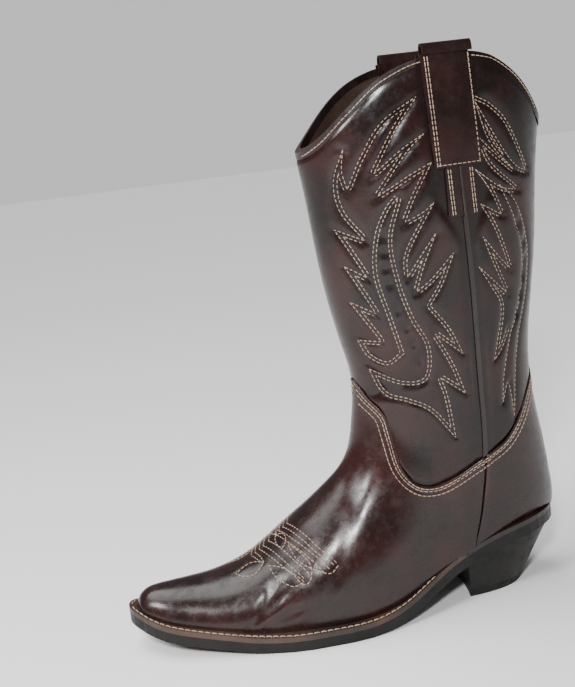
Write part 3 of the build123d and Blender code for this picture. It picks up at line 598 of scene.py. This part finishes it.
def settle(target, t, angle, axes):
    """Walk slice number and angle to where the surface has the wanted two coordinates."""
    for _ in range(WALKS):
        here = on_last(t, angle, 0.0)[:, axes]
        by_t = (on_last(t + STEP_T, angle, 0.0)[:, axes] - here) / STEP_T
        by_angle = (on_last(t, angle + STEP_ANGLE, 0.0)[:, axes] - here) / STEP_ANGLE
        miss = target - here
        size = by_t[:, 0] * by_angle[:, 1] - by_t[:, 1] * by_angle[:, 0]
        size = np.where(np.abs(size) < 1e-3, 1e-3, size)
        move_t = (miss[:, 0] * by_angle[:, 1] - miss[:, 1] * by_angle[:, 0]) / size
        move_angle = (by_t[:, 0] * miss[:, 1] - by_t[:, 1] * miss[:, 0]) / size
        t = np.clip(t + np.clip(move_t, -0.3, 0.3), 0, SLICES)
        angle = np.clip(angle + np.clip(move_angle, -0.1, 0.1), 0.0, math.pi)
    return t, angle


def from_side(path, side):
    """Slice numbers and angles of a side-view path (x, z); side is -1 outside, 1 inside."""
    found = [side_tree.find((x, z, 0))[1] for x, z in path]
    t, angle = settle(path, seek_t[found], seek_angle[found], SIDE_VIEW)
    return t, side * angle


def from_top(path, side):
    """Slice numbers and angles of a plan path (x, distance from the ridge) over the toe."""
    found = [top_tree.find((x, y, 0))[1] for x, y in path]
    t, angle = settle(path, top_t[found], top_angle[found], PLAN)
    return t, side * angle


# ---------------------------------------------------------------- the stitch patterns
# Side-view points (x, z) in mm; a third number marks a sharp tip.
FRONT_FLAME = [
    (-82, 311), (-89, 292), (-87, 272), (-75, 253, 1), (-91, 261, 1), (-75, 229, 1), (-87, 237, 1),
    (-71, 205, 1), (-85, 213, 1), (-69, 186, 1), (-82, 187, 1), (-77, 176), (-66, 170), (-56, 177, 1),
    (-62, 201), (-69, 230), (-67, 254), (-60, 270), (-53, 278, 1), (-61, 252), (-58, 224), (-51, 200),
    (-42, 180), (-44, 160), (-58, 158), (-77, 167, 1), (-70, 150), (-56, 144), (-42, 136), (-27, 116, 1),
    (-30, 143), (-34, 158, 1), (-18, 145, 1), (-25, 166), (-36, 188, 1), (-18, 172, 1), (-26, 190),
    (-38, 207, 1), (-29, 220), (-20, 239, 1), (-36, 224), (-46, 217, 1), (-40, 234), (-31, 253, 1),
    (-43, 238), (-51, 227, 1), (-49, 243), (-31, 272, 1), (-38, 267), (-50, 262, 1), (-42, 278),
    (-30, 297, 1), (-44, 291), (-65, 280, 1), (-46, 304), (-33, 315, 1), (-48, 307), (-66, 294, 1),
    (-50, 320), (-35, 338, 1), (-58, 325), (-72, 306), (-82, 286, 1), (-84, 298), (-82, 311),
]
BACK_FLAME = [
    (3, 332, 1), (14, 326), (26, 313), (41, 283, 1), (32, 287), (21, 300), (3, 331, 1), (12, 304),
    (29, 285, 1), (16, 296), (1, 311, 1), (10, 290), (30, 272, 1), (16, 276), (-1, 289, 1), (8, 276),
    (16, 258, 1), (9, 262), (1, 267, 1), (11, 248), (21, 222, 1), (11, 233), (1, 246, 1), (8, 228),
    (18, 206, 1), (6, 218), (-3, 227, 1), (6, 212), (13, 196), (5, 163, 1), (12, 170), (19, 181),
]
BACK_LEAF = [
    (16, 277), (25, 258), (32, 237), (33, 214), (28, 192), (20, 178, 1), (12, 152), (9, 133, 1),
    (15, 145), (18, 121, 1), (22, 150), (28, 176), (36, 200), (39, 228), (34, 252), (26, 268), (16, 277),
]
DIMPLES = [
    (-64, 254), (-64, 244), (-64, 234), (-63, 224), (-59, 206), (-54, 194), (-50, 183), (-47, 172),
]
BACK_DIMPLES = [(30, 250), (35, 238), (36, 226), (34, 214), (31, 202), (27, 190)]

# Plan points over the toe (x, distance from the ridge) in mm, drawn for one side.
TOE_PATTERN_BACK = -112  # nothing of the pattern lies behind this x
TOE_ROWS = [
    [(-139, 0), (-134, 14), (-126, 28), (-116, 36)], [(-142, 0), (-136, 16), (-128, 29), (-118, 36)],
    [(-145, 0), (-139, 16), (-131, 28), (-122, 36)], [(-148, 0), (-142, 16), (-134, 28), (-126, 36)],
    [(-153, 0), (-148, 14), (-142, 26), (-135, 34)], [(-157, 0), (-152, 14), (-146, 26), (-138, 35)],
    [(-160, 0), (-156, 12), (-150, 24), (-141, 35)],
    [(-116, 36, 1), (-121, 37), (-126, 36), (-131, 34), (-136, 31), (-140, 27), (-142, 22), (-143, 15)],
    [(-141, 19), (-136, 27), (-133, 32), (-134, 35), (-137, 36), (-141, 35)],
    [(-148, 0), (-144, 5), (-143, 11), (-146, 15), (-149, 11), (-149, 4), (-147, 0)],
    [(-158, 18), (-151, 24), (-145, 30), (-139, 35, 1), (-146, 34), (-152, 30), (-156, 25), (-158, 18)],
    [(-160, 14), (-166, 8), (-172, 7), (-179, 10, 1), (-174, 15), (-167, 17), (-160, 14)],
    [(-160, 14), (-161, 8), (-163, 0)], [(-162, 12), (-164, 6), (-166, 0)],
]

PANEL_FRONT, PANEL_BACK = rounded_path(FRONT_FLAME), rounded_path(BACK_FLAME)
LEAF_BACK = rounded_path(BACK_LEAF)
vamp_edge = rounded_path([(x, z) for x, z in VAMP_LINE[1:-1]])
STITCHED_ROWS = {"front_shaft_stitching": [], "back_shaft_stitching": [], "vamp_stitching": []}
sewn_spots = []


def sew(piece, t, angle, inset):
    """Note one row of stitching, and give its points on the smooth last."""
    STITCHED_ROWS[piece].append((t, angle, inset))
    return on_last(t, angle, inset)


for side in (-1, 1):
    for piece, path, gaps in (("front_shaft_stitching", PANEL_FRONT, (0.0, ROW_GAP)),
                              ("back_shaft_stitching", PANEL_BACK, (0.0, ROW_GAP)),
                              ("back_shaft_stitching", LEAF_BACK, (0.0,))):
        for gap in gaps:
            sewn_spots.append(sew(piece, *from_side(beside(path, gap), side), UPPER))
    for gap in VAMP_ROWS:
        sew("vamp_stitching", *from_side(beside(vamp_edge, gap), side), 0.0)
    for drawn in TOE_ROWS:
        sew("vamp_stitching", *from_top(rounded_path(drawn), side), 0.0)

sewn_tree = tree_of(np.vstack(sewn_spots))
dimples = np.array(DIMPLES + BACK_DIMPLES, float)
dimple_spots = np.vstack([on_last(*from_side(dimples, side), UPPER) for side in (-1, 1)])
vamp_spots = np.vstack([on_last(*row) for row in STITCHED_ROWS["vamp_stitching"]])
toe_tree = tree_of(vamp_spots[vamp_spots[:, 0] < TOE_PATTERN_BACK])


def smooth_step(value, low, high):
    """0 up to low, 1 from high on, and smooth between them."""
    s = np.clip((value - low) / (high - low), 0, 1)
    return s * s * (3 - 2 * s)


PINCH = 2.6  # how fast the leather rises beside a seam, mm
PLUMP = 14.0  # how far from a seam it stays plump, mm
DIMPLE_DEPTH = 1.1
DIMPLE_SIZE = (3.2, 3.2, 4.8)
SAG = 0.5  # depth of the long waves of a worn leg, mm
ANKLE_FOLD = 1.1  # depth of the fold over the instep, mm
ANKLE_HEIGHT, ANKLE_SLOPE, ANKLE_WIDTH = 168.0, 0.25, 5.0
STRAP_ZONE = (240.0, 280.0)  # the height over which the flat strip by the seam grows to strap width


def quilted(flat):
    """How far the shaft leather stands up: pinched at the stitching, full between the rows."""
    x, z = flat[:, 0], flat[:, 2]
    near = np.array([sewn_tree.find(spot)[2] for spot in flat])
    puff = PUFF * (1 - np.exp(-near / PINCH)) * (0.6 + 0.4 * np.exp(-near / PLUMP))
    for spot in dimple_spots:
        far = (((flat - spot) / DIMPLE_SIZE) ** 2).sum(1)
        puff -= DIMPLE_DEPTH * np.exp(-far * 1.6)
    seam = np.abs(x - seam_line(z))
    strap = 14 * smooth_step(z, *STRAP_ZONE)
    clear = smooth_step(seam, 3 + strap, 9 + strap)
    below_top = top_line(x) - z
    above_vamp = z - vamp_line(x)
    sag = SAG * np.sin(z / 19 + x / 27) * smooth_step(above_vamp, 0, 20)
    fold = np.exp(-((z - ANKLE_HEIGHT - ANKLE_SLOPE * x) / ANKLE_WIDTH) ** 2)
    shaped = puff + sag - ANKLE_FOLD * fold * smooth_step(-x, 20, 70)
    return shaped * clear * smooth_step(below_top, 3, 10) * smooth_step(above_vamp, 0.5, 4)


# Creases of the vamp: middle x and z, direction of the fold in radians, length, width, depth, mm.
CREASES = [
    (-168, 26, 0.55, 26, 2.4, 0.9), (-158, 30, 0.9, 24, 2.2, 0.8), (-150, 22, 1.2, 22, 2.6, 0.7),
    (-100, 84, 0.35, 40, 4.5, 0.9), (-90, 96, 0.3, 46, 5.0, 0.8), (-45, 60, 1.1, 34, 4.0, 0.5),
    (-120, 40, 0.5, 40, 4.0, 0.5),
]


TOE_PUFF = 0.5  # how far the toe stands up between its rows of stitching, mm
SEWN_EDGE = 3.3  # the groove that the sewing presses along the vamp's edge, by distance from it
RIDGE = 0.6  # height of the welted side seam's two ridges, mm


def creased(flat):
    """Folds of a worn vamp, and the slight puffing between the rows of the toe stitching."""
    height = np.zeros(len(flat))
    for x, z, way, length, width, depth in CREASES:
        dx, dz = flat[:, 0] - x, flat[:, 2] - z
        along = dx * math.sin(way) + dz * math.cos(way)
        over = dx * math.cos(way) - dz * math.sin(way)
        height -= depth * np.exp(-(along / length * 2) ** 2 - (over / width) ** 2)
        height += 0.6 * depth * np.exp(-(along / length * 2) ** 2 - ((over - 2 * width) / width) ** 2)
    near = np.array([toe_tree.find(spot)[2] for spot in flat])
    height += TOE_PUFF * (1 - np.exp(-near / 1.6)) * np.exp(-near / 9) - 0.15
    edge = vamp_line(flat[:, 0]) - flat[:, 2]
    base = flat[:, 2] - seat_line(flat[:, 0])
    seam = np.abs(flat[:, 0] - seam_line(flat[:, 2]))
    rolled = -0.5 * np.exp(-np.abs(edge - SEWN_EDGE) / 0.9)
    side_seam = RIDGE * np.exp(-((seam - 2.2) / 1.3) ** 2) - RIDGE * np.exp(-(seam / 0.9) ** 2)
    shaped = (height * smooth_step(edge, 1, 7) + rolled) * smooth_step(seam, 1, 5) + side_seam
    return shaped * smooth_step(base, 1, 8)


lay_panel("vamp_cover", 130, 190, vamp_angle, lambda angle_of, share: 0.0, where_line(vamp_line),
          0.0, UPPER, creased, VAMP_HIDE, ("vamp",))
lay_panel("heel_counter", 90, 70, back_angle, at_feather, where_line(vamp_line),
          0.0, UPPER, creased, VAMP_HIDE, ("counter_cover",))
lay_panel("front_shaft_quilted", 200, 240, front_angle, where_line(vamp_line, LAP), where_line(top_line),
          UPPER, SHAFT, quilted, SHAFT_HIDE, ("front_shaft_panel",))
lay_panel("back_shaft_quilted", 160, 240, back_angle, where_line(vamp_line, LAP), where_line(top_line),
          UPPER, SHAFT, quilted, SHAFT_HIDE, ("back_shaft_panel",))


# ---------------------------------------------------------------- sewing
STITCH_MARKS = np.array([0.0, 0.25, 0.75, 1.0])
STITCH_RISES = (-0.25, 0.2, 0.2, -0.25)  # how far the thread stands over the leather at the marks, mm


def round_curve(name, radius, facets):
    """An empty curve that becomes round cord of one radius in mm."""
    curve = bpy.data.curves.new(name, "CURVE")
    curve.dimensions = "3D"
    curve.bevel_depth = radius * MM
    curve.bevel_resolution = facets
    curve.use_fill_caps = True
    return curve


def curve_piece(name, curve, material):
    """Turn a curve into a meshed piece of the boot."""
    holder = bpy.data.objects.new(name, curve)
    mesh = bpy.data.meshes.new_from_object(holder)
    bpy.data.objects.remove(holder)
    bm = bmesh.new()
    bm.from_mesh(mesh)
    return finished(name, bm, material, recalc=False)


def stitches(name, rows, length=STITCH, gap=STITCH_GAP, radius=THREAD):
    """Separate arched stitches along each row, as a round thread dipping in at both ends."""
    curve = round_curve(name, radius, 1)
    for points, out in rows:
        pace = np.concatenate([[0], np.cumsum(np.linalg.norm(np.diff(points, axis=0), axis=1))])
        count = np.arange(len(pace))
        lift = out / np.maximum(np.linalg.norm(out, axis=1), 1e-9)[:, None]
        for start in np.arange(0, pace[-1] - length / 2, length + gap):
            marks = start + length * STITCH_MARKS
            if np.interp(marks[-1], pace, count) - np.interp(start, pace, count) < 1:
                continue
            spline = curve.splines.new("POLY")
            spline.points.add(3)
            for knot, mark, rise in zip(spline.points, marks, STITCH_RISES):
                at = np.array([np.interp(mark, pace, points[:, k]) for k in range(3)])
                up_way = np.array([np.interp(mark, pace, lift[:, k]) for k in range(3)])
                knot.co = (*((at + rise * up_way) * MM), 1)
    return curve_piece(name, curve, THREAD_TAN)


def laid_row(t, angle, inset, relief):
    """One row's points on the shaped leather, and the way out of it at each point."""
    height = relief(on_last(t, angle, inset))
    points = on_last(t, angle, inset - height)
    return points, on_last(t, angle, inset - height - 1.0) - points


for piece, rows in STITCHED_ROWS.items():
    on_vamp = piece == "vamp_stitching"
    relief, slot_name = (creased, "vamp_leather") if on_vamp else (quilted, "shaft_leather")
    stitches(piece, [laid_row(*row, relief) for row in rows])


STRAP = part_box("lateral_pull_strap")
STRAP_FOOT, STRAP_TOP = STRAP[0][2] / MM, STRAP[1][2] / MM
STRAP_HALF = 16.0
STRAP_FOLD = 8.0  # the strap's rows stop this far under its fold
STRAP_ROWS = (-STRAP_HALF + 1.6, -STRAP_HALF + 3.4, STRAP_HALF - 1.8)
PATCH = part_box("lateral_side_patch")
PATCH_FOOT = PATCH[0][2] / MM
PATCH_HALF = 9.5
PATCH_ROWS = (-PATCH_HALF + 1.3, -PATCH_HALF + 3.0, PATCH_HALF - 3.0, PATCH_HALF - 1.3)
SEAM_TOP = -12.0  # where the side seam meets the top line, x


def beside_seam(offset, low, high):
    """A side-view line that keeps its distance from the side seam."""
    heights = np.arange(low, high, 1.0)
    return np.stack([seam_line(heights) + offset, heights], 1)


def across_seam(height, reach):
    """A level side-view line over the side seam."""
    middle = float(seam_line(np.array(height)))
    return rounded_path([(middle - reach, height), (middle + reach, height)])


def smooth_leather(flat):
    """No relief: leather that lies on the last."""
    return np.zeros(len(flat))


def strap_rows(side):
    """Rows down both edges of a pull strap and its patch, and across the strap's foot."""
    drawn = [beside_seam(offset, STRAP_FOOT + 1, STRAP_TOP - STRAP_FOLD) for offset in STRAP_ROWS]
    drawn.append(across_seam(STRAP_FOOT + 1.6, STRAP_HALF - 2))
    drawn += [beside_seam(offset, PATCH_FOOT + 1, STRAP_FOOT - 0.5) for offset in PATCH_ROWS]
    return [laid_row(*from_side(path, side), 0.0, smooth_leather) for path in drawn]


def topline_rows(side):
    """One row through the folded binding, just under the edge of the leg."""
    xs = np.linspace(TOP_LINE[1][0] + 4, TOP_LINE[-2][0] - 4, 240)
    path = np.stack([xs, top_line(xs) - TOPLINE_ROW], 1)
    path = path[np.abs(xs - float(seam_line(np.array(350.0)))) > STRAP_HALF + 1]
    return [laid_row(*from_side(half, side), BINDING, smooth_leather)
            for half in (path[path[:, 0] < SEAM_TOP], path[path[:, 0] > SEAM_TOP])]


for side, word in ((-1, "lateral"), (1, "medial")):
    stitches(word + "_strap_stitching", strap_rows(side))
    stitches(word + "_topline_stitching", topline_rows(side))


def tube(name, points, radius, material):
    """A round bead along points, in mm."""
    curve = round_curve(name, radius, 3)
    spline = curve.splines.new("POLY")
    spline.points.add(len(points) - 1)
    for knot, point in zip(spline.points, points):
        knot.co = (*(np.array(point) * MM), 1)
    return curve_piece(name, curve, material)


for side, word in ((-1, "lateral"), (1, "medial")):
    run = on_last(*from_side(beside_seam(0, PATCH_FOOT - 1, STRAP_FOOT + 0.5), side), -0.2)
    tube(word + "_patch_bead", run, 1.0, BINDING_HIDE)


def welt_edge(side):
    """The welt's outer edge on one side, as points (x, y) from the toe to the arch, mm."""
    near_tip = WELT_TIP + np.array([0.3, 1.0, 2.0, 3.5, 5.5])
    xs = np.concatenate([near_tip, np.arange(WELT_TIP + 8, -30, 2.0)])
    return np.stack([xs, welt_middle(xs) + side * np.sqrt(welt_squares(xs))], 1)


def welt_rows():
    """The row of sewing on top of the welt, on both sides, and the way up at each point."""
    rows = []
    for side in (-1, 1):
        line = welt_edge(side)
        along = np.gradient(line, axis=0)
        along /= np.hypot(*along.T)[:, None]
        inward = np.stack([-along[:, 1], along[:, 0]], 1)
        inward *= -side
        inner = line + WELT_ROW * inward
        pace = np.concatenate([[0], np.cumsum(np.hypot(*np.diff(inner, axis=0).T))])
        walk = np.arange(0, pace[-1], 1.0)
        x, y = (np.interp(walk, pace, inner[:, k]) for k in range(2))
        points = np.stack([x, y, seat_line(x) + 0.05], 1)
        rows.append((points, np.tile([0.0, 0.0, 1.0], (len(points), 1))))
    return rows


stitches("welt_stitching", welt_rows(),
         length=WELT_STITCH, gap=WELT_STITCH_GAP, radius=WELT_THREAD)


# ---------------------------------------------------------------- floor, light and camera
def stage_floor():
    """Pale paper under the boot."""
    bm = bmesh.new()
    bmesh.ops.create_grid(bm, x_segments=1, y_segments=1, size=6)
    mesh = bpy.data.meshes.new("studio_floor")
    bm.to_mesh(mesh)
    bm.free()
    floor = bpy.data.objects.new("studio_floor", mesh)
    bpy.context.scene.collection.objects.link(floor)
    material, nodes, links, shader = shader_base("pale paper", 0.8)
    shader.inputs["Base Color"].default_value = (0.9, 0.9, 0.89, 1)
    mesh.materials.append(material)


def soft_light(name, place, target, size, watts):
    """A round lamp at a place, turned to a target."""
    lamp = bpy.data.lights.new(name, "AREA")
    lamp.shape = "DISK"
    lamp.size = size
    lamp.energy = watts
    light = bpy.data.objects.new(name, lamp)
    bpy.context.scene.collection.objects.link(light)
    light.location = place
    light.rotation_euler = (Vector(target) - Vector(place)).to_track_quat("-Z", "Y").to_euler()


def studio():
    """The floor, a white surround that lights little, a wide sun and two lamps."""
    stage_floor()
    world = bpy.data.worlds.new("studio")
    world.use_nodes = True
    nodes, links = world.node_tree.nodes, world.node_tree.links
    dim, bright = nodes["Background"], nodes.new("ShaderNodeBackground")
    dim.inputs["Color"].default_value = (0.96, 0.97, 1.0, 1)
    dim.inputs["Strength"].default_value = 0.2
    bright.inputs["Strength"].default_value = 0.9
    seen = nodes.new("ShaderNodeMixShader")
    links.new(nodes.new("ShaderNodeLightPath").outputs["Is Camera Ray"], seen.inputs[0])
    links.new(dim.outputs[0], seen.inputs[1])
    links.new(bright.outputs[0], seen.inputs[2])
    links.new(seen.outputs[0], nodes["World Output"].inputs["Surface"])
    bpy.context.scene.world = world
    sky = bpy.data.lights.new("ceiling", "SUN")
    sky.energy = 2.6
    sky.angle = 0.8
    overhead = bpy.data.objects.new("ceiling", sky)
    bpy.context.scene.collection.objects.link(overhead)
    overhead.rotation_euler = (-0.22, -0.3, 0)
    soft_light("flash", (-0.45, -1.0, 0.85), (-0.05, 0, 0.17), 0.16, 14)
    soft_light("window", (-1.1, -0.5, 0.9), (-0.05, 0, 0.2), 0.4, 14)


def boot_camera():
    """Low in front of the outer side, turned a little to the toe and rolled."""
    place = Vector((-0.2488, -0.6349, 0.3345))
    turn, dip, roll = 0.175, 0.144, -0.121
    ahead = Vector((math.sin(turn) * math.cos(dip), math.cos(turn) * math.cos(dip), -math.sin(dip)))
    level = Vector((math.cos(turn), -math.sin(turn), 0))
    rise = level.cross(ahead)
    right = math.cos(roll) * level + math.sin(roll) * rise
    above = math.cos(roll) * rise - math.sin(roll) * level
    lens = bpy.data.cameras.new("camera")
    lens.lens = 52.4
    lens.shift_x = 0.041
    lens.shift_y = -0.111
    lens.clip_start = 0.01
    camera = bpy.data.objects.new("camera", lens)
    camera.matrix_world = Matrix((
        (right.x, above.x, -ahead.x, place.x), (right.y, above.y, -ahead.y, place.y),
        (right.z, above.z, -ahead.z, place.z), (0, 0, 0, 1)))
    bpy.context.scene.collection.objects.link(camera)
    bpy.context.scene.camera = camera


studio()
boot_camera()
